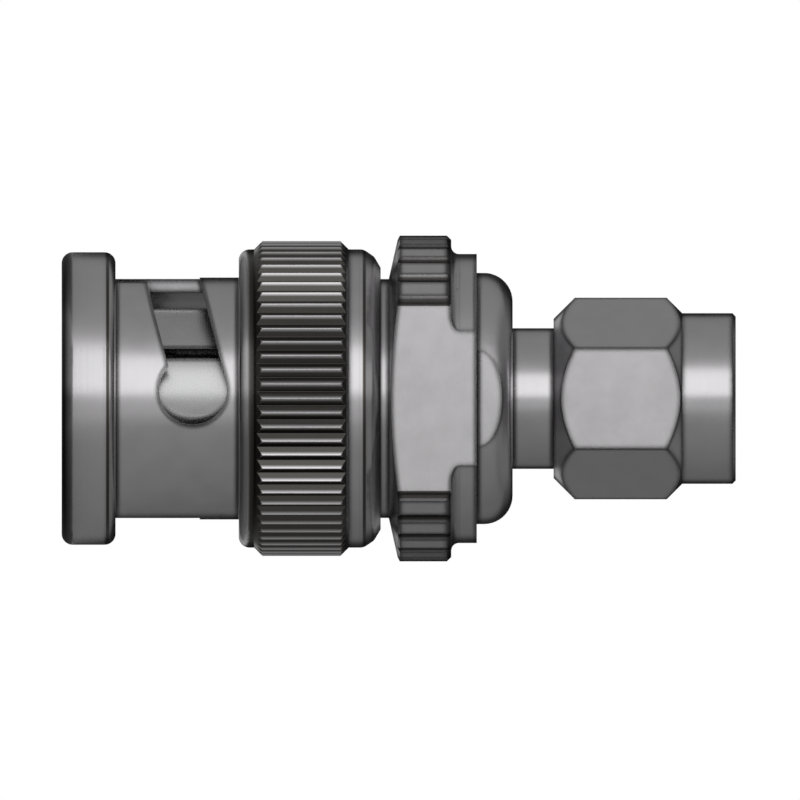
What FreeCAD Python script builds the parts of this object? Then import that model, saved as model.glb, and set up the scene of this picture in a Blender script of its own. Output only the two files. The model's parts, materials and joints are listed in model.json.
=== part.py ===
import FreeCAD, Part
import math
import os

# Coaxial adapter: a bayonet plug at the bottom and a threaded plug at the top, joined by a knurled body.
# Every piece is turned about the Z axis. The adapter stands on the bayonet sleeve's front ring at z = 0.
# Lengths are in millimetres and angles in degrees. Heights ending in _z are counted from the floor.

# Bayonet sleeve, outside, from its front ring to its rear face
ring_rise = 1.15
ring_length = 2.45
ring_edge = 0.5
waist_length = 5.6
grip_front_margin = 0.7
grip_length = 4.3
grip_rear_margin = 0.67
grip_rise = 0.375
rear_round_length = 0.48
rear_round_drop = 0.32
rear_bevel_length = 0.3
rear_bevel_drop = 0.51

# Bayonet sleeve, inside. The mating gap is the room for the socket's shell around the spring contact.
mating_gap = 0.8
mouth_bevel = 0.3
waist_wall = 0.6
cavity_wall = 0.78
lip_thickness = 0.6

# Recess in the sleeve's rear face, in which the body's neck turns
rear_recess_depth = 0.25

# Bayonet slots: two entry grooves, two slanted slots and two locking holes, half a turn apart
slot_width = 2.35
slot_slant = 15.3
lock_hole_radius = 1.55
lock_hole_z = 5.97
lock_hole_angle = 266.0
quarter_turn = 82.5
groove_depth_in_ring = 0.15

# Straight knurling: fine with sharp crests on the sleeve's grip, coarse with flat crests on the flange
knurl_groove_angle = 105.0
grip_teeth = 68
flange_grooves = 34
flange_groove_depth = 0.2

# Spring washers and thrust washer under the sleeve's rolled lip
wave_thickness = 0.25
wave_count = 3
wave_sections = 24
wave_stack_spare = 0.2
washer_thickness = 0.4
washer_band = 1.25
sleeve_travel = 0.8

# Plug body, its spring contact and its gasket
plug_flange_thickness = 1.0
barrel_wall = 0.4
barrel_engagement = 2.25
contact_radius = 4.1
contact_wall = 0.6
contact_tip_z = 2.5
contact_seat_depth = 1.4
contact_flare = 0.06
finger_count = 4
finger_slot_width = 0.5
finger_slot_length = 5.5
finger_slot_angle = 240.0
bayonet_gasket_height = 0.75

# Bayonet side insulator and centre pin
insulator_front_z = 5.2
insulator_cup_wall = 0.85
insulator_floor_z = 8.8
insulator_relief = 0.2
insulator_relief_end_z = 9.0
insulator_shoulder_length = 1.1
insulator_tail_radius = 2.26
insulator_tail_reach = 0.6
pin_radius = 0.675
pin_root_radius = 0.9
pin_tip_z = 3.2
pin_tip_taper = 0.6
pin_tip_radius = 0.3
pin_socket_radius = 0.4
pin_socket_depth = 1.6

# Main body: neck, knurled flange with two spanner flats, and collar
body_front_gap = 0.1
neck_wall = 0.93
neck_length = 0.52
flange_rise = 0.255
flange_length = 2.84
flange_cone_height = 0.4
flange_edge = 0.2
flange_flat_depth = 1.59
collar_step = 0.84
collar_length = 1.16
collar_round = 0.35

# Threaded half: shoulder with two flats, neck, tail and outer contact tube
shoulder_step = 0.86
shoulder_length = 1.63
shoulder_round = 1.3
shoulder_flat_depth = 0.45
shoulder_flat_tilt = 8.0
spigot_radius = 4.6
stem_step = 0.6
stem_length = 1.86
tail_step = 0.305
tail_rim = 0.25
tube_radius = 2.295
tube_wall = 0.245
tube_length = 2.7
threaded_gasket_height = 0.7

# Threaded side insulator and centre pin
insulator_flange_radius = 2.6
insulator_flange_thickness = 0.8
core_radius = 0.635
threaded_pin_radius = 0.457
threaded_pin_reach = 2.35
threaded_pin_taper = 0.45
threaded_pin_tip_radius = 0.15

# Coupling nut and the snap ring that holds it. The thread room is for the socket's shell around the tube.
thread_room = 0.88
nut_flats_across = 7.9375
hexagon_length = 5.85
nose_setback = 0.09
nose_length = 2.43
nose_edge = 0.15
nut_rear_setback = 0.35
nut_collar_thickness = 1.24
nut_land_thickness = 0.2
nut_relief_length = 1.0
nut_relief_depth = 0.075
thread_mouth_bevel = 0.3
nut_float = 0.25
snap_wire = 0.56
snap_ring_opening = 40.0

# Clearances between pieces
running_gap = 0.1
groove_gap = 0.05
face_gap = 0.02

# Radii of the bayonet half, from the spring contact outwards
contact_bore_radius = contact_radius - contact_wall
insulator_front_radius = contact_bore_radius - insulator_relief
insulator_cup_radius = insulator_front_radius - insulator_cup_wall
sleeve_bore_radius = contact_radius + mating_gap
bayonet_gasket_radius = sleeve_bore_radius - running_gap
waist_radius = sleeve_bore_radius + waist_wall
ring_radius = waist_radius + ring_rise
groove_radius = waist_radius + groove_depth_in_ring
barrel_radius = contact_radius + barrel_wall
lip_radius = barrel_radius + 2 * running_gap
washer_inner_radius = barrel_radius + running_gap + groove_gap
washer_outer_radius = washer_inner_radius + washer_band
cavity_radius = washer_outer_radius + running_gap
plug_flange_radius = cavity_radius - running_gap
sleeve_shoulder_radius = cavity_radius + cavity_wall
grip_radius = sleeve_shoulder_radius + grip_rise
rear_bevel_radius = sleeve_shoulder_radius - rear_round_drop
rear_face_radius = rear_bevel_radius - rear_bevel_drop
neck_radius = barrel_radius + neck_wall
rear_recess_radius = neck_radius + running_gap
flange_radius = grip_radius + flange_rise
flange_flat_distance = flange_radius - flange_flat_depth
collar_radius = flange_radius - collar_step
shoulder_radius = collar_radius - shoulder_step
shoulder_flat_distance = shoulder_radius - shoulder_flat_depth

# Radii of the threaded half, from the outer contact tube outwards
tube_bore_radius = tube_radius - tube_wall
tail_radius = tube_radius + tail_step
stem_radius = tail_radius + stem_step
snap_ring_inner_radius = tail_radius + 2 * groove_gap - snap_wire / 2
snap_ring_outer_radius = snap_ring_inner_radius + snap_wire
tail_groove_radius = snap_ring_inner_radius - groove_gap
nut_groove_radius = snap_ring_outer_radius + groove_gap
nut_bore_radius = tail_radius + running_gap
nut_land_radius = nut_bore_radius + groove_gap
thread_major_radius = tube_radius + thread_room
nut_relief_radius = thread_major_radius + nut_relief_depth
threaded_gasket_radius = nut_relief_radius - 3 * running_gap
nut_corner_radius = nut_flats_across / 2 / math.cos(math.radians(30))
nut_rear_radius = nut_flats_across / 2 - nut_rear_setback
nose_radius = nut_flats_across / 2 - nose_setback

# Heights of the sleeve, from its front ring up
ring_end_z = ring_length
waist_end_z = ring_end_z + waist_length
grip_start_z = waist_end_z + grip_front_margin
grip_end_z = grip_start_z + grip_length
rear_round_start_z = grip_end_z + grip_rear_margin
rear_bevel_start_z = rear_round_start_z + rear_round_length
sleeve_end_z = rear_bevel_start_z + rear_bevel_length
rear_recess_z = sleeve_end_z - rear_recess_depth

# Heights of the plug: the washers and its flange are stacked down from the sleeve's rolled lip
lip_start_z = sleeve_end_z - lip_thickness
washer_start_z = lip_start_z - washer_thickness
wave_height = wave_thickness + (sleeve_travel + wave_stack_spare) / 2
wave_swing = (wave_height - wave_thickness) / 2 - face_gap
plug_flange_end_z = washer_start_z - 2 * wave_height
cavity_start_z = plug_flange_end_z - plug_flange_thickness
contact_end_z = cavity_start_z + contact_seat_depth
insulator_step_z = contact_end_z + insulator_shoulder_length

# Heights of the bodies, stacked up from the recess in the sleeve's rear face
body_front_z = rear_recess_z + body_front_gap
barrel_end_z = body_front_z + barrel_engagement
joint_plane_z = barrel_end_z + insulator_tail_reach
flange_start_z = body_front_z + neck_length
flange_end_z = flange_start_z + flange_length
collar_end_z = flange_end_z + collar_length
shoulder_end_z = collar_end_z + shoulder_length
stem_end_z = shoulder_end_z + stem_length
insulator_flange_end_z = joint_plane_z + insulator_flange_thickness

# Heights of the nut and the snap ring, seated on the threaded body's tail
snap_groove_start_z = stem_end_z + nut_collar_thickness
snap_ring_start_z = snap_groove_start_z + face_gap
snap_ring_end_z = snap_ring_start_z + snap_wire
snap_groove_end_z = snap_ring_end_z + face_gap
tail_groove_end_z = snap_groove_end_z + nut_float
tail_end_z = tail_groove_end_z + tail_rim
reference_plane_z = tail_end_z + tube_length
nut_land_end_z = snap_groove_end_z + nut_land_thickness
nut_relief_end_z = nut_land_end_z + nut_relief_length
hexagon_end_z = stem_end_z + hexagon_length
nut_end_z = hexagon_end_z + nose_length

origin = FreeCAD.Vector(0, 0, 0)
up = FreeCAD.Vector(0, 0, 1)


def at_angle(radius, angle, z):
    turn = math.radians(angle)
    return FreeCAD.Vector(radius * math.cos(turn), radius * math.sin(turn), z)


def turned(corners):
    # A solid of revolution about Z. Each corner is (radius, height) or (radius, height, rounding).
    points = [FreeCAD.Vector(corner[0], 0, corner[1]) for corner in corners]
    edges = []
    first = None
    last = None
    for index, corner in enumerate(corners):
        start = points[index]
        end = start
        arc = None
        if len(corner) > 2:
            back = (points[index - 1] - points[index]).normalize()
            ahead = (points[(index + 1) % len(points)] - points[index]).normalize()
            half = back.getAngle(ahead) / 2
            start = points[index] + back * (corner[2] / math.tan(half))
            end = points[index] + ahead * (corner[2] / math.tan(half))
            middle = points[index] + (back + ahead).normalize() * (corner[2] / math.sin(half) - corner[2])
            arc = Part.Arc(start, middle, end).toShape()
        if last is None:
            first = start
        else:
            edges.append(Part.makeLine(last, start))
        if arc is not None:
            edges.append(arc)
        last = end
    edges.append(Part.makeLine(last, first))
    return Part.Face(Part.Wire(edges)).revolve(origin, up, 360)


def tube(inner, outer, low, high):
    return turned([(inner, low), (outer, low), (outer, high), (inner, high)])


def prism(corners, low, high):
    points = [FreeCAD.Vector(corner.x, corner.y, low) for corner in corners]
    outline = Part.makePolygon(points + points[:1])
    return Part.Face(outline).extrude(FreeCAD.Vector(0, 0, high - low))


def knurled_blank(tip_radius, low, high):
    # A toothed bar whose grooves have the knurl's angle and meet at sharp crests.
    half_pitch = 180 / grip_teeth
    depth = tip_radius * math.radians(half_pitch) / math.tan(math.radians(knurl_groove_angle / 2))
    corners = []
    for tooth in range(grip_teeth):
        crest_angle = 2 * half_pitch * tooth
        corners.append(at_angle(tip_radius, crest_angle, 0))
        corners.append(at_angle(tip_radius - depth, crest_angle + half_pitch, 0))
    return prism(corners, low, high)


def grooved_blank(tip_radius, low, high):
    # A bar with wide flat crests between narrow grooves of the knurl's angle.
    groove_half_width = flange_groove_depth * math.tan(math.radians(knurl_groove_angle / 2))
    groove_half_angle = math.degrees(groove_half_width / tip_radius)
    corners = []
    for groove in range(flange_grooves):
        groove_angle = 360 * groove / flange_grooves
        corners.append(at_angle(tip_radius, groove_angle - groove_half_angle, 0))
        corners.append(at_angle(tip_radius - flange_groove_depth, groove_angle, 0))
        corners.append(at_angle(tip_radius, groove_angle + groove_half_angle, 0))
    return prism(corners, low, high)


def flats(distance, low, high, tilt=0):
    # Two blocks that leave a pair of flats facing -Y and +Y. A tilt makes the flats run out towards the top.
    reach = 2 * flange_radius
    block = Part.makeBox(2 * reach, reach, high - low, FreeCAD.Vector(-reach, distance, low))
    block.rotate(FreeCAD.Vector(0, distance, low), FreeCAD.Vector(1, 0, 0), -tilt)
    other = block.copy()
    other.rotate(origin, up, 180)
    return block.fuse(other)


def through_bar(radius, angle, z, reach):
    # A round bar across the axis, for holes on both sides of a tube.
    across = at_angle(1, angle, 0)
    return Part.makeCylinder(radius, 2 * reach, at_angle(-reach, angle, z), across)


def bayonet_slots():
    # Everything milled out of the sleeve so that the mating socket's two lugs can turn into their holes.
    # A groove lets each lug in, a slanted slot draws it in as the sleeve turns, and a round hole locks it.
    reach = (waist_radius + ring_radius) / 2
    slant = math.radians(slot_slant)
    entry_angle = lock_hole_angle - quarter_turn
    hole_offset = waist_radius * math.cos(math.radians(quarter_turn))
    slot_middle_z = lock_hole_z + (lock_hole_radius - slot_width / 2) / math.cos(slant)
    entry_z = slot_middle_z - (waist_radius - hole_offset) * math.tan(slant)
    slot = Part.makeBox(
        reach, reach + slot_width / 2, slot_width,
        FreeCAD.Vector(-reach, -reach, lock_hole_radius - slot_width),
    )
    slot.rotate(origin, FreeCAD.Vector(0, 1, 0), -slot_slant)
    slot.translate(FreeCAD.Vector(-hole_offset, 0, lock_hole_z))
    slot.rotate(origin, up, entry_angle - 180)
    second_slot = slot.copy()
    second_slot.rotate(origin, up, 180)
    groove = Part.makeBox(
        2 * reach, slot_width, entry_z + ring_length,
        FreeCAD.Vector(-reach, -slot_width / 2, -ring_length),
    )
    groove.rotate(origin, up, entry_angle)
    groove_limit = Part.makeCylinder(
        groove_radius, entry_z + 2 * ring_length, FreeCAD.Vector(0, 0, -ring_length),
    )
    entry = groove.common(groove_limit)
    holes = through_bar(lock_hole_radius, lock_hole_angle, lock_hole_z, reach)
    return [entry, slot, second_slot, holes]


def bayonet_sleeve():
    blank = turned([
        (sleeve_bore_radius + mouth_bevel, 0),
        (ring_radius, 0, ring_edge),
        (ring_radius, ring_end_z, ring_edge),
        (waist_radius, ring_end_z),
        (waist_radius, waist_end_z),
        (sleeve_shoulder_radius, waist_end_z, ring_edge),
        (sleeve_shoulder_radius, rear_round_start_z, ring_edge),
        (rear_bevel_radius, rear_bevel_start_z, ring_edge),
        (rear_face_radius, sleeve_end_z),
        (rear_recess_radius, sleeve_end_z),
        (rear_recess_radius, rear_recess_z),
        (lip_radius, rear_recess_z),
        (lip_radius, lip_start_z),
        (cavity_radius, lip_start_z),
        (cavity_radius, cavity_start_z),
        (sleeve_bore_radius, cavity_start_z),
        (sleeve_bore_radius, mouth_bevel),
    ])
    grip = turned([
        (cavity_radius, grip_start_z),
        (sleeve_shoulder_radius, grip_start_z),
        (grip_radius, grip_start_z + grip_rise),
        (grip_radius, grip_end_z - grip_rise),
        (sleeve_shoulder_radius, grip_end_z),
        (cavity_radius, grip_end_z),
    ])
    grip = grip.common(knurled_blank(grip_radius, grip_start_z, grip_end_z))
    return blank.fuse(grip).cut(bayonet_slots()).removeSplitter()


def thrust_washer():
    return tube(washer_inner_radius, washer_outer_radius, washer_start_z, lip_start_z)


def wave_washer(low, phase):
    # A flat ring bent into waves around its circle, so that it springs when it is pressed.
    sections = []
    for index in range(wave_sections):
        angle = 360 * index / wave_sections
        z = low + wave_height / 2 + wave_swing * math.cos(math.radians(wave_count * angle + phase))
        corners = [
            at_angle(washer_inner_radius, angle, z - wave_thickness / 2),
            at_angle(washer_outer_radius, angle, z - wave_thickness / 2),
            at_angle(washer_outer_radius, angle, z + wave_thickness / 2),
            at_angle(washer_inner_radius, angle, z + wave_thickness / 2),
        ]
        sections.append(Part.makePolygon(corners + corners[:1]))
    return Part.makeLoft(sections, True, False, True)


def plug_body():
    return turned([
        (contact_radius, cavity_start_z),
        (plug_flange_radius, cavity_start_z),
        (plug_flange_radius, plug_flange_end_z),
        (barrel_radius, plug_flange_end_z),
        (barrel_radius, barrel_end_z),
        (insulator_tail_radius, barrel_end_z),
        (insulator_tail_radius, insulator_step_z),
        (contact_bore_radius, insulator_step_z),
        (contact_bore_radius, contact_end_z),
        (contact_radius, contact_end_z),
    ])


def outer_contact():
    # The slotted spring fingers that press against the inside of the mating socket.
    tip_radius = contact_radius + contact_flare
    tip_end_z = contact_tip_z + contact_wall
    fingers = turned([
        (contact_bore_radius + contact_flare, contact_tip_z),
        (contact_radius, contact_tip_z),
        (tip_radius, contact_tip_z + contact_flare),
        (tip_radius, tip_end_z),
        (contact_radius, tip_end_z + 4 * contact_flare),
        (contact_radius, contact_end_z),
        (contact_bore_radius, contact_end_z),
        (contact_bore_radius, tip_end_z),
    ])
    slots = []
    for index in range(finger_count):
        slot = Part.makeBox(
            2 * contact_radius, finger_slot_width, finger_slot_length + contact_wall,
            FreeCAD.Vector(0, -finger_slot_width / 2, contact_tip_z - contact_wall),
        )
        slot.rotate(origin, up, finger_slot_angle + 360 * index / finger_count)
        slots.append(slot)
    return fingers.cut(slots)


def bayonet_gasket():
    front_z = cavity_start_z - bayonet_gasket_height
    return tube(contact_radius, bayonet_gasket_radius, front_z, cavity_start_z)


def bayonet_insulator():
    return turned([
        (insulator_cup_radius, insulator_front_z),
        (insulator_front_radius, insulator_front_z),
        (insulator_front_radius, insulator_relief_end_z),
        (contact_bore_radius, insulator_relief_end_z),
        (contact_bore_radius, insulator_step_z),
        (insulator_tail_radius, insulator_step_z),
        (insulator_tail_radius, joint_plane_z),
        (pin_root_radius, joint_plane_z),
        (pin_root_radius, insulator_floor_z),
        (insulator_cup_radius, insulator_floor_z),
    ])


def bayonet_pin():
    blank = turned([
        (0, pin_tip_z),
        (pin_tip_radius, pin_tip_z),
        (pin_radius, pin_tip_z + pin_tip_taper),
        (pin_radius, insulator_floor_z),
        (pin_root_radius, insulator_floor_z),
        (pin_root_radius, joint_plane_z),
        (0, joint_plane_z),
    ])
    socket_start_z = joint_plane_z - pin_socket_depth
    socket = Part.makeCylinder(pin_socket_radius, pin_socket_depth, FreeCAD.Vector(0, 0, socket_start_z))
    return blank.cut(socket)


def main_body():
    cone_end_z = flange_start_z + flange_cone_height
    turned_blank = turned([
        (barrel_radius, body_front_z),
        (neck_radius, body_front_z),
        (neck_radius, flange_start_z),
        (flange_radius - flange_edge, cone_end_z),
        (flange_radius, cone_end_z + flange_edge / 2),
        (flange_radius, flange_end_z - flange_edge),
        (flange_radius - flange_edge, flange_end_z),
        (collar_radius, flange_end_z, collar_round),
        (collar_radius, collar_end_z),
        (spigot_radius, collar_end_z),
        (spigot_radius, joint_plane_z),
        (insulator_tail_radius, joint_plane_z),
        (insulator_tail_radius, barrel_end_z),
        (barrel_radius, barrel_end_z),
    ])
    grooved = turned_blank.common(grooved_blank(flange_radius, body_front_z, collar_end_z))
    return grooved.cut(flats(flange_flat_distance, body_front_z, collar_end_z))


def threaded_body():
    blank = turned([
        (insulator_flange_radius, joint_plane_z),
        (spigot_radius, joint_plane_z),
        (spigot_radius, collar_end_z),
        (shoulder_radius, collar_end_z),
        (shoulder_radius, shoulder_end_z, shoulder_round),
        (stem_radius, shoulder_end_z),
        (stem_radius, stem_end_z),
        (tail_radius, stem_end_z),
        (tail_radius, snap_groove_start_z),
        (tail_groove_radius, snap_groove_start_z),
        (tail_groove_radius, tail_groove_end_z),
        (tail_radius, tail_groove_end_z),
        (tail_radius, tail_end_z),
        (tube_radius, tail_end_z),
        (tube_radius, reference_plane_z),
        (tube_bore_radius, reference_plane_z),
        (tube_bore_radius, insulator_flange_end_z),
        (insulator_flange_radius, insulator_flange_end_z),
    ])
    return blank.cut(flats(shoulder_flat_distance, collar_end_z, shoulder_end_z, shoulder_flat_tilt))


def threaded_gasket():
    return tube(tube_radius, threaded_gasket_radius, tail_end_z, tail_end_z + threaded_gasket_height)


def threaded_insulator():
    return turned([
        (core_radius, joint_plane_z),
        (insulator_flange_radius, joint_plane_z),
        (insulator_flange_radius, insulator_flange_end_z),
        (tube_bore_radius, insulator_flange_end_z),
        (tube_bore_radius, reference_plane_z),
        (core_radius, reference_plane_z),
    ])


def threaded_pin():
    tip_z = reference_plane_z + threaded_pin_reach
    spigot_end_z = joint_plane_z - pin_socket_depth + running_gap
    return turned([
        (0, spigot_end_z),
        (pin_socket_radius, spigot_end_z),
        (pin_socket_radius, joint_plane_z),
        (core_radius, joint_plane_z),
        (core_radius, reference_plane_z),
        (threaded_pin_radius, reference_plane_z),
        (threaded_pin_radius, tip_z - threaded_pin_taper),
        (threaded_pin_tip_radius, tip_z),
        (0, tip_z),
    ])


def snap_ring():
    # An open ring of square wire that lies in the tail's groove and in the nut's groove.
    wire_section = Part.makePolygon([
        FreeCAD.Vector(snap_ring_inner_radius, 0, snap_ring_start_z),
        FreeCAD.Vector(snap_ring_outer_radius, 0, snap_ring_start_z),
        FreeCAD.Vector(snap_ring_outer_radius, 0, snap_ring_end_z),
        FreeCAD.Vector(snap_ring_inner_radius, 0, snap_ring_end_z),
        FreeCAD.Vector(snap_ring_inner_radius, 0, snap_ring_start_z),
    ])
    ring = Part.Face(wire_section).revolve(origin, up, 360 - snap_ring_opening)
    ring.rotate(origin, up, snap_ring_opening / 2)
    return ring


def coupling_nut():
    corners = [at_angle(nut_corner_radius, 60 * index, 0) for index in range(6)]
    hexagon = prism(corners, stem_end_z, hexagon_end_z)
    rear_bevel = nut_corner_radius - nut_rear_radius
    front_bevel = nut_corner_radius - nose_radius
    bevelled = turned([
        (0, stem_end_z),
        (nut_rear_radius, stem_end_z),
        (nut_corner_radius, stem_end_z + rear_bevel),
        (nut_corner_radius, hexagon_end_z - front_bevel),
        (nose_radius, hexagon_end_z),
        (0, hexagon_end_z),
    ])
    nose = turned([
        (0, hexagon_end_z),
        (nose_radius, hexagon_end_z),
        (nose_radius, nut_end_z - nose_edge),
        (nose_radius - nose_edge, nut_end_z),
        (0, nut_end_z),
    ])
    bore = turned([
        (0, stem_end_z),
        (nut_bore_radius, stem_end_z),
        (nut_bore_radius, snap_groove_start_z),
        (nut_groove_radius, snap_groove_start_z),
        (nut_groove_radius, snap_groove_end_z),
        (nut_land_radius, snap_groove_end_z),
        (nut_land_radius, nut_land_end_z),
        (nut_relief_radius, nut_land_end_z),
        (nut_relief_radius, nut_relief_end_z),
        (thread_major_radius, nut_relief_end_z),
        (thread_major_radius, nut_end_z - thread_mouth_bevel),
        (thread_major_radius + thread_mouth_bevel, nut_end_z),
        (0, nut_end_z),
    ])
    return hexagon.common(bevelled).fuse(nose).cut(bore).removeSplitter()


pieces = {
    "bayonet_sleeve": bayonet_sleeve(),
    "thrust_washer": thrust_washer(),
    "wave_washer_front": wave_washer(plug_flange_end_z, 0),
    "wave_washer_rear": wave_washer(plug_flange_end_z + wave_height, 180),
    "plug_body": plug_body(),
    "outer_contact": outer_contact(),
    "bayonet_gasket": bayonet_gasket(),
    "bayonet_insulator": bayonet_insulator(),
    "bayonet_pin": bayonet_pin(),
    "main_body": main_body(),
    "threaded_body": threaded_body(),
    "threaded_gasket": threaded_gasket(),
    "threaded_insulator": threaded_insulator(),
    "threaded_pin": threaded_pin(),
    "snap_ring": snap_ring(),
    "coupling_nut": coupling_nut(),
}

os.makedirs("parts", exist_ok=True)
for name, shape in pieces.items():
    shape.exportStep("parts/" + name + ".step")
    print(name, "solids", len(shape.Solids), "valid", shape.isValid(), "volume", round(shape.Volume, 3))
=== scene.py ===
import json
import math
import bpy
from mathutils import Matrix, Vector


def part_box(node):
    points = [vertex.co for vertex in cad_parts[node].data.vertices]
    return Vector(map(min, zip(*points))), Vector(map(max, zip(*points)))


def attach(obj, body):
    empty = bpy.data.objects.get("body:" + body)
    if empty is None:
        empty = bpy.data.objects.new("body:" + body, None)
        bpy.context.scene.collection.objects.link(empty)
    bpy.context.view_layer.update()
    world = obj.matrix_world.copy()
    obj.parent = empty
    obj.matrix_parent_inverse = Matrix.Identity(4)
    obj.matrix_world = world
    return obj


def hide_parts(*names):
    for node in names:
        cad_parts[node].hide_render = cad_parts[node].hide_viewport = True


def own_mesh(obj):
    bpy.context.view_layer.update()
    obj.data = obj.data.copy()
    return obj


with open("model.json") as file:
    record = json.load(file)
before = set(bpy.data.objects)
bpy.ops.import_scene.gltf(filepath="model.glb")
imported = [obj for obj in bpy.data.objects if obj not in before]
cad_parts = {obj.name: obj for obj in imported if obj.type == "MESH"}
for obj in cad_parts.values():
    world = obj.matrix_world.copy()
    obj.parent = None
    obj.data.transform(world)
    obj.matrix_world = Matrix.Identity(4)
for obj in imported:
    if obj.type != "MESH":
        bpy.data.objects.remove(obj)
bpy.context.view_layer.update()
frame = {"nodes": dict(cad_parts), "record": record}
nodes = frame["nodes"]
mm = 0.001  # the scene is in metres, and the sizes below are in millimetres
print("frame loaded:", len(nodes), "pieces")

view = {
    "picturePixels": 800,
    "pixelsPerMm": 22.0,
    "middleHeight": 15.38,  # the height on the adapter that lies at the picture's centre
    "sideShift": 0.068,  # how far the adapter's axis lies above the picture's centre
    "distance": 300.0,
}


def addCamera():
    data = bpy.data.cameras.new("camera")
    data.type = "ORTHO"
    data.ortho_scale = view["picturePixels"] / view["pixelsPerMm"] * mm
    camera = bpy.data.objects.new("camera", data)
    bpy.context.scene.collection.objects.link(camera)
    # the adapter's axis runs from left to right in the picture, so the camera lies on its side
    right = Vector((0, 0, 1))
    up = Vector((-1, 0, 0))
    back = right.cross(up)
    turn = Matrix((right, up, back)).transposed().to_4x4()
    place = Vector((view["sideShift"], -view["distance"], view["middleHeight"])) * mm
    camera.matrix_world = Matrix.Translation(place) @ turn
    bpy.context.scene.camera = camera


addCamera()
bpy.context.scene.view_settings.view_transform = "Standard"
print("camera placed")

noiseSpan = (0.3, 0.7)  # a noise stays between these values most of the time


class Graph:
    # a short way to write a material's nodes and links
    def __init__(self, material):
        self.tree = material.node_tree
        self.tree.nodes.clear()

    def add(self, kind, **settings):
        node = self.tree.nodes.new("ShaderNode" + kind)
        for name, value in settings.items():
            setattr(node, name, value)
        return node

    def feed(self, socket, value):
        # a value is another node's output, or a plain number or colour
        if hasattr(value, "is_output"):
            self.tree.links.new(value, socket)
        else:
            socket.default_value = value

    def math(self, operation, first, second=0.0):
        node = self.add("Math", operation=operation)
        self.feed(node.inputs[0], first)
        self.feed(node.inputs[1], second)
        return node.outputs[0]

    def vector(self, operation, first, second=None):
        node = self.add("VectorMath", operation=operation)
        self.feed(node.inputs[0], first)
        if second is not None:
            self.feed(node.inputs[1], second)
        return node.outputs["Value"] if operation in ("LENGTH", "DOT_PRODUCT") else node.outputs["Vector"]

    def between(self, value, low, high, start, end):
        # goes from start to end while the value goes from low to high, and stays there outside them
        node = self.add("MapRange")
        self.feed(node.inputs["Value"], value)
        for name, number in (("From Min", low), ("From Max", high), ("To Min", start), ("To Max", end)):
            self.feed(node.inputs[name], number)
        return node.outputs[0]

    def noise(self, vector, scale, detail):
        node = self.add("TexNoise")
        self.feed(node.inputs["Vector"], vector)
        self.feed(node.inputs["Scale"], scale)
        self.feed(node.inputs["Detail"], detail)
        return node.outputs["Fac"]

    def spread(self, noise, start, end):
        return self.between(noise, *noiseSpan, start, end)

    def mix(self, factor, first, second, blend="MIX"):
        node = self.add("Mix", data_type="RGBA", blend_type=blend)
        self.feed(node.inputs[0], factor)
        self.feed(node.inputs[6], first)
        self.feed(node.inputs[7], second)
        return node.outputs[2]

    def show(self, shader):
        self.feed(self.add("OutputMaterial").inputs[0], shader.outputs[0])


def newMaterial(name):
    material = bpy.data.materials.new(name)
    material.use_nodes = True
    return material, Graph(material)


def axisPlace(graph):
    # a point's place in millimetres, its three parts, and how far it is from the adapter's axis
    place = graph.vector("SCALE", graph.add("TexCoord").outputs["Object"])
    place.node.inputs["Scale"].default_value = 1 / mm
    parts = graph.add("SeparateXYZ")
    graph.feed(parts.inputs[0], place)
    flatPlace = graph.add("CombineXYZ")
    graph.feed(flatPlace.inputs[0], parts.outputs[0])
    graph.feed(flatPlace.inputs[1], parts.outputs[1])
    return place, parts, graph.vector("LENGTH", flatPlace.outputs[0])


sampling = {"cornerRays": 8, "edgeRays": 6, "roundingRays": 6, "softRoundingRays": 4}


def toolMarks(graph, parts, reach, pitch):
    # rings around the axis, which show as lines along a tube and as circles on an end face
    ringPlace = graph.add("CombineXYZ")
    graph.feed(ringPlace.inputs[0], graph.math("DIVIDE", reach, pitch))
    graph.feed(ringPlace.inputs[1], graph.math("DIVIDE", parts.outputs[2], pitch))
    return graph.noise(ringPlace.outputs[0], 1.0, 1.0)


def openView(graph, size, low, high):
    # 0 in a corner that sees little of what is around it, and 1 in the open
    corner = graph.add("AmbientOcclusion", samples=sampling["cornerRays"], only_local=False)
    corner.inputs["Distance"].default_value = size * mm
    return graph.between(corner.outputs["AO"], low, high, 0.0, 1.0)


def rounded(graph, radius, rays):
    # the way the surface faces, as if its sharp edges were rounded
    bevel = graph.add("Bevel", samples=rays)
    bevel.inputs["Radius"].default_value = radius * mm
    return bevel.outputs[0]


def bumpy(graph, height, depth, facing):
    bump = graph.add("Bump")
    bump.inputs["Distance"].default_value = depth * mm
    graph.feed(bump.inputs["Height"], height)
    graph.feed(bump.inputs["Normal"], facing)
    return bump.outputs[0]


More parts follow.
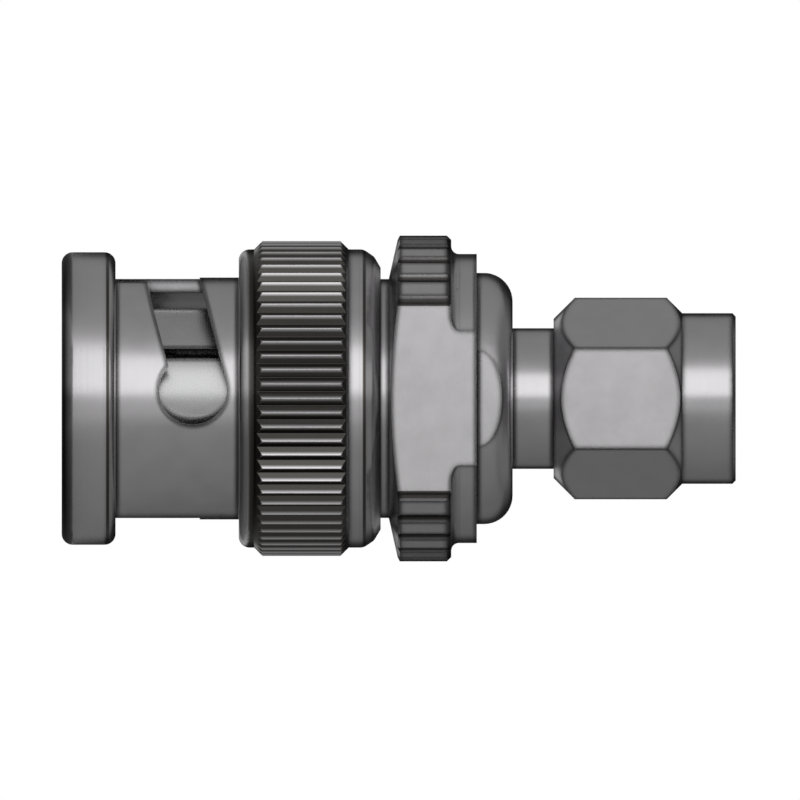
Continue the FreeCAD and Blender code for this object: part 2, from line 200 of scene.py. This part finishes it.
# painted shade at sharp edges and in corners, and random clouds and specks in the plating
shadeAndWear = {
    "edgeSize": 0.38,  # mm from a sharp edge over which a dark line of painted shade is drawn
    "edgeLean": (0.998, 0.972),  # cosines of lean between which the painted edge line goes dark
    "edgeShade": 0.86,  # how much darker the painted shade line at a sharp edge is
    "openLow": 0.30,  # the open view at which a corner gets the full painted shade
    "openHigh": 0.86,  # and the one at which it gets none
    "cloudsPerMm": 0.9,
    "cloudDepth": 0.025,  # how much the clouds lighten and darken the plating
    "specksPerMm": 14.0,
    "speckRoughness": (-0.02, 0.03),  # what specks, tool marks and clouds add to the roughness
    "ringRoughness": (-0.015, 0.02),
    "cloudRoughness": (-0.015, 0.025),
}
# each finish's second colour is the painted shade that its corners get
metalFinishes = {
    "plated_brass": {
        "colour": (0.54, 0.53, 0.54), "cornerShade": (0.035, 0.032, 0.028), "roughness": 0.20,
        "ringPitch": 0.07, "ringDepth": 0.0004, "edgeRadius": 0.05, "cornerSize": 0.45,
    },
    "contact_plate": {
        "colour": (0.49, 0.49, 0.495), "cornerShade": (0.05, 0.048, 0.045), "roughness": 0.26,
        "ringPitch": 0.05, "ringDepth": 0.0004, "edgeRadius": 0.04, "cornerSize": 0.40,
    },
    "spring_bronze": {
        "colour": (0.52, 0.34, 0.19), "cornerShade": (0.20, 0.12, 0.07), "roughness": 0.26,
        "ringPitch": 0.10, "ringDepth": 0.0003, "edgeRadius": 0.03, "cornerSize": 0.40,
    },
    "gold_plate": {
        "colour": (0.80, 0.56, 0.24), "cornerShade": (0.40, 0.25, 0.10), "roughness": 0.17,
        "ringPitch": 0.05, "ringDepth": 0.0003, "edgeRadius": 0.04, "cornerSize": 0.40,
    },
}

# The knurled pieces get painted shade between their teeth, in a darker colour given for each. Radii, depths
# and heights are in mm.
knurls = {
    "bayonet_sleeve": {
        "crest": 7.155, "depth": 0.25, "low": 8.7, "high": 13.1,
        "full": 0.56,  # share of a tooth's depth below which the painted shade is complete
        "grooveShade": (0.075, 0.072, 0.066), "share": 1.0,
        "crestHighlight": 0.25,  # how much lighter the crests are painted, a painted highlight
        "edgeLines": 0.0,  # how much of the painted shade line along sharp edges is left on the teeth
        "shore": (8.30, 8.55, 8.95),  # where painted shade along the band's front end starts, is complete, stops
        "lines": (2.09, 13.76),  # heights of turned lines that get a painted dark line of shade
        "cornerSize": 0.45,
    },
    "main_body": {
        "crest": 7.41, "depth": 0.20, "low": 15.0, "high": 17.68, "full": 0.5,
        "grooveShade": (0.055, 0.052, 0.047), "share": 0.95, "crestHighlight": 0.0, "edgeLines": 1.0,
        "shore": (), "lines": (), "cornerSize": 0.28,
    },
}
tooth = {
    "underFloor": 0.03,  # mm below the grooves' floor that still count as knurled
    "cleanTip": 0.01,  # mm below the crest where the painted groove shade ends
    "highlightFrom": 0.08,  # mm below the crest between which the painted highlight rises
    "highlightTo": 0.03,
}
turnedLine = {
    "core": 0.045,  # mm from a turned line's middle where its painted shade is complete
    "reach": 0.10,  # and where it ends
    "outside": 6.0,  # the radius outside which a piece's front end and lines get painted shade
}


def amongTeeth(graph, height, reach, knurl):
    # 1 in the knurled band, from the floor of its grooves outwards, and 0 elsewhere
    inside = graph.math("GREATER_THAN", height, knurl["low"])
    inside = graph.math("MULTIPLY", inside, graph.math("LESS_THAN", height, knurl["high"]))
    lowestReach = knurl["crest"] - knurl["depth"] - tooth["underFloor"]
    return graph.math("MULTIPLY", inside, graph.math("GREATER_THAN", reach, lowestReach))


# how much painted shade a point of a knurled piece gets: between the teeth, along the band's front end and
# at the turned lines
def grooveShadeShare(graph, height, reach, knurl, inside):
    fullReach = knurl["crest"] - (1 - knurl["full"]) * knurl["depth"]
    cleanReach = knurl["crest"] - tooth["cleanTip"]
    share = graph.math("MULTIPLY", inside, graph.between(reach, fullReach, cleanReach, knurl["share"], 0.0))
    outside = graph.math("GREATER_THAN", reach, turnedLine["outside"])
    if knurl["shore"]:
        start, complete, end = knurl["shore"]
        shore = graph.between(height, start, complete, 0.0, 1.0)
        shore = graph.math("MULTIPLY", shore, graph.math("LESS_THAN", height, end))
        share = graph.math("MAXIMUM", share, graph.math("MULTIPLY", shore, outside))
    for lineHeight in knurl["lines"]:
        away = graph.math("ABSOLUTE", graph.math("SUBTRACT", height, lineHeight))
        line = graph.between(away, turnedLine["core"], turnedLine["reach"], 1.0, 0.0)
        share = graph.math("MAXIMUM", share, graph.math("MULTIPLY", line, outside))
    return share


def metalMaterial(name, finish, knurl=None):
    material, graph = newMaterial(name)
    place, parts, reach = axisPlace(graph)
    height = parts.outputs[2]
    rings = toolMarks(graph, parts, reach, finish["ringPitch"])
    cloud = graph.noise(place, shadeAndWear["cloudsPerMm"], 3.0)
    specks = graph.noise(place, shadeAndWear["specksPerMm"], 2.0)

    # painted shade that darkens the plating in the corners, and a thin painted dark line of shade along
    # each sharp edge
    openness = openView(graph, (knurl or finish)["cornerSize"], shadeAndWear["openLow"], shadeAndWear["openHigh"])
    edgeFacing = rounded(graph, shadeAndWear["edgeSize"], sampling["edgeRays"])
    leaning = graph.vector("DOT_PRODUCT", edgeFacing, graph.add("NewGeometry").outputs["Normal"])
    edge = graph.between(leaning, *shadeAndWear["edgeLean"], 0.0, 1.0)

    tone = graph.spread(cloud, 1 - shadeAndWear["cloudDepth"], 1 + shadeAndWear["cloudDepth"])
    colour = graph.mix(openness, (*finish["cornerShade"], 1), (*finish["colour"], 1))
    if knurl:
        inside = amongTeeth(graph, height, reach, knurl)
        share = grooveShadeShare(graph, height, reach, knurl, inside)
        # painted shade between the teeth, along the band's front end and at the turned lines
        colour = graph.mix(share, colour, (*knurl["grooveShade"], 1))
        # a painted highlight along the teeth's crests
        highlightFrom = knurl["crest"] - tooth["highlightFrom"]
        highlightTo = knurl["crest"] - tooth["highlightTo"]
        paintedCrestHighlight = graph.between(reach, highlightFrom, highlightTo, 0.0, knurl["crestHighlight"])
        tone = graph.math("ADD", tone, graph.math("MULTIPLY", inside, paintedCrestHighlight))
        edge = graph.math("MULTIPLY", edge, graph.between(inside, 0.0, 1.0, 1.0, knurl["edgeLines"]))
    # a painted dark line of shade along the sharp edges
    tone = graph.math("MULTIPLY", tone, graph.between(edge, 0.0, 1.0, 1.0, 1 - shadeAndWear["edgeShade"]))
    colour = graph.mix(1.0, colour, tone, "MULTIPLY")

    speckLow, speckHigh = shadeAndWear["speckRoughness"]
    roughness = graph.spread(specks, finish["roughness"] + speckLow, finish["roughness"] + speckHigh)
    roughness = graph.math("ADD", roughness, graph.spread(rings, *shadeAndWear["ringRoughness"]))
    roughness = graph.math("ADD", roughness, graph.spread(cloud, *shadeAndWear["cloudRoughness"]))

    facing = rounded(graph, finish["edgeRadius"], sampling["roundingRays"])
    shader = graph.add("BsdfPrincipled")
    shader.inputs["Metallic"].default_value = 1.0
    graph.feed(shader.inputs["Base Color"], colour)
    graph.feed(shader.inputs["Roughness"], roughness)
    graph.feed(shader.inputs["Normal"], bumpy(graph, rings, finish["ringDepth"], facing))
    graph.show(shader)
    return material


# each finish's third colour is the painted shade that its corners get
softFinishes = {
    "white_insulator": {
        "colour": (0.80, 0.80, 0.77), "shade": (0.70, 0.69, 0.65), "cornerShade": (0.012, 0.012, 0.011),
        "roughness": 0.42, "grainsPerMm": 6.0, "ringDepth": 0.002, "ringPitch": 0.12,
        "subsurface": 0.08, "edgeRadius": 0.06,
    },
    "silicone": {
        "colour": (0.36, 0.055, 0.03), "shade": (0.26, 0.04, 0.022), "cornerShade": (0.05, 0.01, 0.006),
        "roughness": 0.55, "grainsPerMm": 9.0, "ringDepth": 0.004, "ringPitch": 0.4,
        "subsurface": 0.03, "edgeRadius": 0.06,
    },
}
softCorner = {"size": 1.5, "openLow": 0.35, "openHigh": 0.7}  # mm, and the open views as for the metals
softLight = (0.0006, 0.0005, 0.0004)  # metres that red, green and blue light go inside the material
grainRoughness = 0.05


def softMaterial(name, finish):
    material, graph = newMaterial(name)
    place, parts, reach = axisPlace(graph)
    rings = toolMarks(graph, parts, reach, finish["ringPitch"])
    grain = graph.noise(place, finish["grainsPerMm"], 3.0)
    colour = graph.mix(graph.spread(grain, 0.0, 1.0), (*finish["shade"], 1), (*finish["colour"], 1))
    openness = openView(graph, softCorner["size"], softCorner["openLow"], softCorner["openHigh"])
    # painted shade in the corners
    colour = graph.mix(openness, (*finish["cornerShade"], 1), colour)
    smoothest = finish["roughness"] - grainRoughness
    roughest = finish["roughness"] + grainRoughness
    facing = rounded(graph, finish["edgeRadius"], sampling["softRoundingRays"])
    shader = graph.add("BsdfPrincipled")
    shader.inputs["Subsurface Weight"].default_value = finish["subsurface"]
    shader.inputs["Subsurface Radius"].default_value = softLight
    shader.inputs["Subsurface Scale"].default_value = 1.0
    graph.feed(shader.inputs["Base Color"], colour)
    graph.feed(shader.inputs["Roughness"], graph.spread(grain, smoothest, roughest))
    graph.feed(shader.inputs["Normal"], bumpy(graph, rings, finish["ringDepth"], facing))
    graph.show(shader)
    return material


finishes = {name: metalMaterial(name + "Finish", finish) for name, finish in metalFinishes.items()}
finishes.update({name: softMaterial(name + "Finish", finish) for name, finish in softFinishes.items()})
slotOf = {part["node"]: part["material_slot"] for part in frame["record"]["subparts"]}
for nodeName, node in nodes.items():
    slotName = slotOf[nodeName]
    material = finishes[slotName]
    if nodeName in knurls:
        material = metalMaterial(nodeName + "Finish", metalFinishes[slotName], knurls[nodeName])
    for materialSlot in node.material_slots:
        materialSlot.material = material
print("finishes given:", len(finishes) + len(knurls))


def meshPiece(name, vertices, faces, smooth=True):
    mesh = bpy.data.meshes.new(name)
    mesh.from_pydata([tuple(vertex) for vertex in vertices], [], faces)
    mesh.validate()
    for face in mesh.polygons:
        face.use_smooth = smooth
    piece = bpy.data.objects.new(name, mesh)
    bpy.context.scene.collection.objects.link(piece)
    return piece


def onCircle(radius, angle, height):
    return Vector((radius * math.cos(angle), radius * math.sin(angle), height)) * mm


thread = {
    "pitch": 0.7056,
    "majorRadius": 3.175,
    "minorRadius": 2.86,
    "rootOverlap": 0.03,  # how far the ridge is sunk into the nut's bore
    "startHeight": 25.55,
    "endHeight": 30.2,
    "crestWidth": 0.09,
    "footWidth": 0.62,
    "stepsPerTurn": 72,
    "runOut": 0.35,  # turns over which the ridge fades in and out
    "leastFade": 0.02,  # share of the ridge's height that is left at its very ends
    "runOutSpread": 0.6,  # how far the crest widens towards the foot's width where the ridge fades
}


def nutThread():
    turns = (thread["endHeight"] - thread["startHeight"]) / thread["pitch"]
    steps = int(turns * thread["stepsPerTurn"])
    foot = thread["majorRadius"] + thread["rootOverlap"]
    ridge = thread["majorRadius"] - thread["minorRadius"]
    halfFoot = thread["footWidth"] / 2
    narrowCrest = thread["crestWidth"] / 2
    vertices = []
    faces = []
    for step in range(steps + 1):
        turned = step / thread["stepsPerTurn"]
        fade = min(1.0, turned / thread["runOut"], (turns - turned) / thread["runOut"])
        fade = max(fade, thread["leastFade"])
        height = thread["startHeight"] + turned * thread["pitch"]
        crest = thread["majorRadius"] - ridge * fade
        halfCrest = narrowCrest + (halfFoot - narrowCrest) * (1 - fade) * thread["runOutSpread"]
        angle = 2 * math.pi * turned
        vertices.append(onCircle(foot, angle, height - halfFoot))
        vertices.append(onCircle(crest, angle, height - halfCrest))
        vertices.append(onCircle(crest, angle, height + halfCrest))
        vertices.append(onCircle(foot, angle, height + halfFoot))
    for step in range(steps):
        first = 4 * step
        for side in range(4):
            after = (side + 1) % 4
            faces.append((first + side, first + 4 + side, first + 4 + after, first + after))
    faces.append((0, 1, 2, 3))
    faces.append((4 * steps + 3, 4 * steps + 2, 4 * steps + 1, 4 * steps))
    piece = meshPiece("nut_thread", vertices, faces, smooth=False)
    piece.data.materials.append(finishes["plated_brass"])
    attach(piece, "nut")


nutThread()
print("thread made")

washers = {
    "phases": {"wave_washer_front": 0.0, "wave_washer_rear": 180.0},  # degrees along the wave
    "waves": 3,
    "thickness": 0.25,
    "band": 1.25,  # mm from a washer's inner edge to its outer edge
    "seatThickness": 1.0,  # of the plug body's flange, on which the washers stand
    "stepsAround": 144,
    "flatShare": 0.467,  # of the stack's height that is left when the sleeve is fully forward
}


def waveWasher(name, phase):
    low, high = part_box(name)
    outer = (high.x - low.x) / 2 / mm
    inner = outer - washers["band"]
    middle = (low.z + high.z) / 2 / mm
    swing = ((high.z - low.z) / mm - washers["thickness"]) / 2
    half = washers["thickness"] / 2
    vertices = []
    faces = []
    count = washers["stepsAround"]
    for step in range(count):
        angle = 2 * math.pi * step / count
        height = middle + swing * math.cos(washers["waves"] * angle + math.radians(phase))
        vertices.append(onCircle(inner, angle, height - half))
        vertices.append(onCircle(outer, angle, height - half))
        vertices.append(onCircle(outer, angle, height + half))
        vertices.append(onCircle(inner, angle, height + half))
    for step in range(count):
        first = 4 * step
        nextOne = 4 * ((step + 1) % count)
        for side in range(4):
            after = (side + 1) % 4
            faces.append((first + side, first + after, nextOne + after, nextOne + side))
    piece = meshPiece(name + "_spring", vertices, faces, smooth=False)
    piece.data.materials.append(finishes["spring_bronze"])
    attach(piece, "body")
    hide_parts(name)
    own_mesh(piece)


for washerName, wavePhase in washers["phases"].items():
    waveWasher(washerName, wavePhase)
print("wave washers made")

# The studio around the adapter. Angles run from the camera's side (0) towards -X, which is up in the
# picture, and each pair in "around" is an angle and the light that the plating sees there. "upwards" and
# "overhead" go by the angle above the horizon: the first is a share of "around", the second a least light.
studio = {
    "radius": 200.0,
    "middleHeight": 15.0,
    "brightest": 1.5,
    "around": (
        (-180, 0.0), (-153, 0.02), (-147, 0.08), (-138, 0.18), (-120, 0.20), (-90, 0.24), (-60, 0.28),
        (-35, 0.31), (-22, 0.38), (-12, 0.60), (-8, 0.58), (0, 0.60), (6.5, 1.46), (20, 1.42),
        (36, 1.36), (46, 0.60), (58, 0.44), (74, 0.38), (90, 0.36), (120, 0.33), (138, 0.28),
        (147, 0.10), (153, 0.02), (180, 0.0),
    ),
    "upwards": ((-90, 1.0), (35, 1.0), (50, 0.7), (60, 0.42), (70, 0.2), (80, 0.06), (90, 0.03)),
    "overhead": ((-90, 0.0), (20, 0.0), (35, 0.10), (50, 0.22), (65, 0.22), (80, 0.12), (90, 0.10)),
    "domeSides": 96,
    "domeRings": 32,
    "cardTop": 1.0,  # what the plating sees below this height belongs to the card
    "cardGlow": 0.48,  # least light on the card, from the end of its rise to the start of its fall
    "cardRise": (22.0, 40.0),
    "cardFall": (60.0, 100.0),
    "footDark": 0.15,  # the card is dark close to the adapter
    "footStart": 7.0,
    "footEnd": 24.0,
    "floorSide": 900.0,
    "floorDrop": 0.01,
    "floorColour": (0.86, 0.86, 0.86, 1),
    "floorRoughness": 0.7,
    "ambient": 0.62,
    "lampPower": 2.2,
    "lampSide": 260.0,
    "lampPlace": (-220.0, -260.0, 420.0),
}


def ramp(graph, value, stops, scale):
    # light between the stops given as (degrees, light)
    node = graph.add("ValToRGB")
    places = node.color_ramp.elements
    while len(places) < len(stops):
        places.new(0.5)
    low, high = stops[0][0], stops[-1][0]
    for place, (angle, light) in zip(places, stops):
        place.position = (angle - low) / (high - low)
        place.color = (light / scale, light / scale, light / scale, 1)
    graph.feed(node.inputs[0], graph.between(value, math.radians(low), math.radians(high), 0.0, 1.0))
    return graph.math("MULTIPLY", node.outputs[0], scale)


def studioGlow():
    material, graph = newMaterial("studioGlow")
    place, parts, reach = axisPlace(graph)
    sideways = graph.math("MULTIPLY", parts.outputs[0], -1.0)
    towards = graph.math("MULTIPLY", parts.outputs[1], -1.0)
    height = parts.outputs[2]
    turned = graph.math("ARCTAN2", sideways, towards)
    elevation = graph.math("ARCTAN2", graph.math("SUBTRACT", height, studio["middleHeight"]), reach)
    around = ramp(graph, turned, studio["around"], studio["brightest"])
    upwards = ramp(graph, elevation, studio["upwards"], 1.0)
    foot = graph.between(reach, studio["footStart"], studio["footEnd"], studio["footDark"], 1.0)
    light = graph.math("MULTIPLY", graph.math("MULTIPLY", around, upwards), foot)
    light = graph.math("MAXIMUM", light, ramp(graph, elevation, studio["overhead"], 1.0))
    card = graph.between(reach, *studio["cardRise"], 0.0, studio["cardGlow"])
    card = graph.math("MULTIPLY", card, graph.between(reach, *studio["cardFall"], 1.0, 0.0))
    card = graph.math("MULTIPLY", card, graph.math("LESS_THAN", height, studio["cardTop"]))
    light = graph.math("MAXIMUM", light, card)
    glow = graph.add("Emission")
    graph.feed(glow.inputs["Strength"], light)
    graph.show(glow)
    return material


def tent():
    # a dome and the card below it, which only the plating sees
    sides = studio["domeSides"]
    rings = studio["domeRings"]
    vertices = [onCircle(0.0, 0.0, 0.0)]
    faces = []
    for ring in range(rings):
        angle = math.pi / 2 * ring / rings
        ringRadius = studio["radius"] * math.cos(angle)
        ringHeight = studio["radius"] * math.sin(angle)
        for side in range(sides):
            vertices.append(onCircle(ringRadius, 2 * math.pi * side / sides, ringHeight))
    vertices.append(onCircle(0.0, 0.0, studio["radius"]))
    top = len(vertices) - 1
    for side in range(sides):
        after = (side + 1) % sides
        faces.append((0, 1 + after, 1 + side))
        for ring in range(rings - 1):
            low = 1 + ring * sides
            faces.append((low + side, low + after, low + sides + after, low + sides + side))
        last = 1 + (rings - 1) * sides
        faces.append((last + side, last + after, top))
    piece = meshPiece("tent", vertices, faces)
    piece.location.z = -studio["floorDrop"] / 2 * mm
    piece.data.materials.append(studioGlow())
    piece.visible_camera = False
    piece.visible_diffuse = False
    piece.visible_shadow = False


def floor():
    half = studio["floorSide"] / 2
    corners = [(-half, -half), (half, -half), (half, half), (-half, half)]
    vertices = [Vector((x, y, -studio["floorDrop"])) * mm for x, y in corners]
    piece = meshPiece("floor", vertices, [(0, 1, 2, 3)])
    material, graph = newMaterial("paleFloor")
    shader = graph.add("BsdfPrincipled")
    shader.inputs["Base Color"].default_value = studio["floorColour"]
    shader.inputs["Roughness"].default_value = studio["floorRoughness"]
    graph.show(shader)
    piece.data.materials.append(material)


def lamp():
    data = bpy.data.lights.new("softLamp", "AREA")
    data.size = studio["lampSide"] * mm
    data.energy = studio["lampPower"]
    lampObject = bpy.data.objects.new("softLamp", data)
    place = Vector(studio["lampPlace"]) * mm
    lampObject.location = place
    aim = Vector((0, 0, view["middleHeight"])) * mm - place
    lampObject.rotation_euler = aim.to_track_quat("-Z", "Y").to_euler()
    lampObject.visible_glossy = False
    bpy.context.scene.collection.objects.link(lampObject)


def backdrop():
    # the world is white wherever it is seen, and a plain grey where it only lights the adapter
    world = bpy.data.worlds.new("studio")
    bpy.context.scene.world = world
    world.use_nodes = True
    graph = Graph(world)
    path = graph.add("LightPath")
    seen = graph.math("MAXIMUM", path.outputs["Is Camera Ray"], path.outputs["Is Glossy Ray"])
    seen = graph.math("MAXIMUM", seen, path.outputs["Is Transmission Ray"])
    sky = graph.add("Background")
    sky.inputs["Color"].default_value = (1, 1, 1, 1)
    graph.feed(sky.inputs["Strength"], graph.between(seen, 0.0, 1.0, studio["ambient"], 1.0))
    graph.feed(graph.add("OutputWorld").inputs[0], sky.outputs[0])


tent()
floor()
lamp()
backdrop()
print("studio set")
